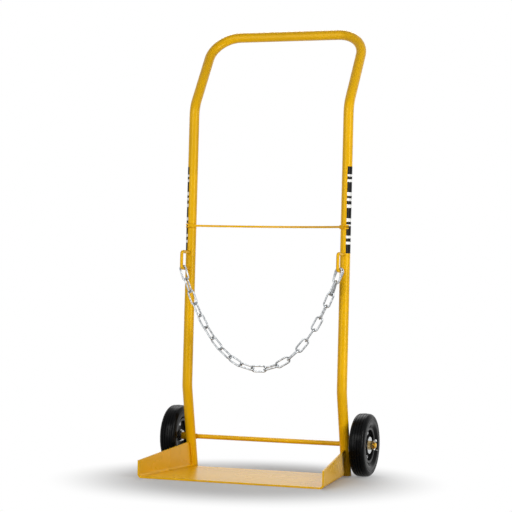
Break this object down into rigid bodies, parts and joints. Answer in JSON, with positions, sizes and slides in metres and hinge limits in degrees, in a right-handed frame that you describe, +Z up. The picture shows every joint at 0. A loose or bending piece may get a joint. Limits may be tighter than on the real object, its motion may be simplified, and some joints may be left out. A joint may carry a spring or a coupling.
{
  "type": "gas cylinder trolley",
  "caption": "Two-wheeled hand trolley for a gas cylinder: bent tube frame with grip bar, folded toe plate, curved cradle bar, solid rubber wheels and a retaining chain",
  "frame": {"origin": "on the floor, at the middle of the trolley's footprint box", "axes": "+X to the trolley's right seen from the front, -Y to the front where the toe plate is, +Z up"},
  "size_m": [0.5692, 0.405, 1.1284],
  "materials": {
    "powder_coat": "glossy orange-yellow powder coat on steel",
    "tyre_rubber": "solid black rubber",
    "rim_enamel": "semi-gloss black enamel on pressed steel",
    "zinc_chain": "zinc-plated round wire",
    "zinc_steel": "bright zinc plating",
    "yellow_zinc": "yellow-passivated zinc plating",
    "bush_nylon": "moulded black nylon"
  },
  "bodies": {
    "frame": {"frame_tube": "powder_coat", "toe_plate": "powder_coat", "cradle_bar": "powder_coat", "axle": "powder_coat", "left_chain_eye": "powder_coat", "left_axle_collar": "powder_coat", "left_inner_washer": "zinc_steel", "left_outer_washer": "zinc_steel", "left_axle_nut": "yellow_zinc", "left_split_pin": "zinc_steel", "right_chain_eye": "powder_coat", "right_axle_collar": "powder_coat", "right_inner_washer": "zinc_steel", "right_outer_washer": "zinc_steel", "right_axle_nut": "yellow_zinc", "right_split_pin": "zinc_steel", "chain_link_20": "zinc_chain", "chain_link_21": "zinc_chain", "chain_link_22": "zinc_chain", "chain_link_23": "zinc_chain"},
    "left_wheel": {"left_tyre": "tyre_rubber", "left_outer_rim": "rim_enamel", "left_inner_rim": "rim_enamel", "left_hub_sleeve": "zinc_steel", "left_inner_bush": "bush_nylon", "left_outer_bush": "bush_nylon", "left_rim_bolts": "zinc_steel", "left_rim_nuts": "zinc_steel"},
    "right_wheel": {"right_tyre": "tyre_rubber", "right_outer_rim": "rim_enamel", "right_inner_rim": "rim_enamel", "right_hub_sleeve": "zinc_steel", "right_inner_bush": "bush_nylon", "right_outer_bush": "bush_nylon", "right_rim_bolts": "zinc_steel", "right_rim_nuts": "zinc_steel"},
    "chain": {"chain_link_01": "zinc_chain", "chain_link_02": "zinc_chain", "chain_link_03": "zinc_chain", "chain_link_04": "zinc_chain", "chain_link_05": "zinc_chain", "chain_link_06": "zinc_chain", "chain_link_07": "zinc_chain", "chain_link_08": "zinc_chain", "chain_link_09": "zinc_chain", "chain_link_10": "zinc_chain", "chain_link_11": "zinc_chain", "chain_link_12": "zinc_chain", "chain_link_13": "zinc_chain", "chain_link_14": "zinc_chain", "chain_link_15": "zinc_chain", "chain_link_16": "zinc_chain", "chain_link_17": "zinc_chain", "chain_link_18": "zinc_chain", "chain_link_19": "zinc_chain"}
  },
  "joints": [
    {"name": "left_wheel_spin", "type": "hinge", "parent": "frame", "child": "left_wheel", "pos_m": [-0.251, 0.08167, 0.0785], "axis": [1, 0, 0], "continuous": true},
    {"name": "right_wheel_spin", "type": "hinge", "parent": "frame", "child": "right_wheel", "pos_m": [0.251, 0.08167, 0.0785], "axis": [1, 0, 0], "continuous": true},
    {"name": "chain_swing", "type": "hinge", "parent": "frame", "child": "chain", "pos_m": [-0.20816, -0.01065, 0.51677], "axis": [0.9883, 0.0168, -0.1517], "range_deg": [-45, 15]}
  ]
}
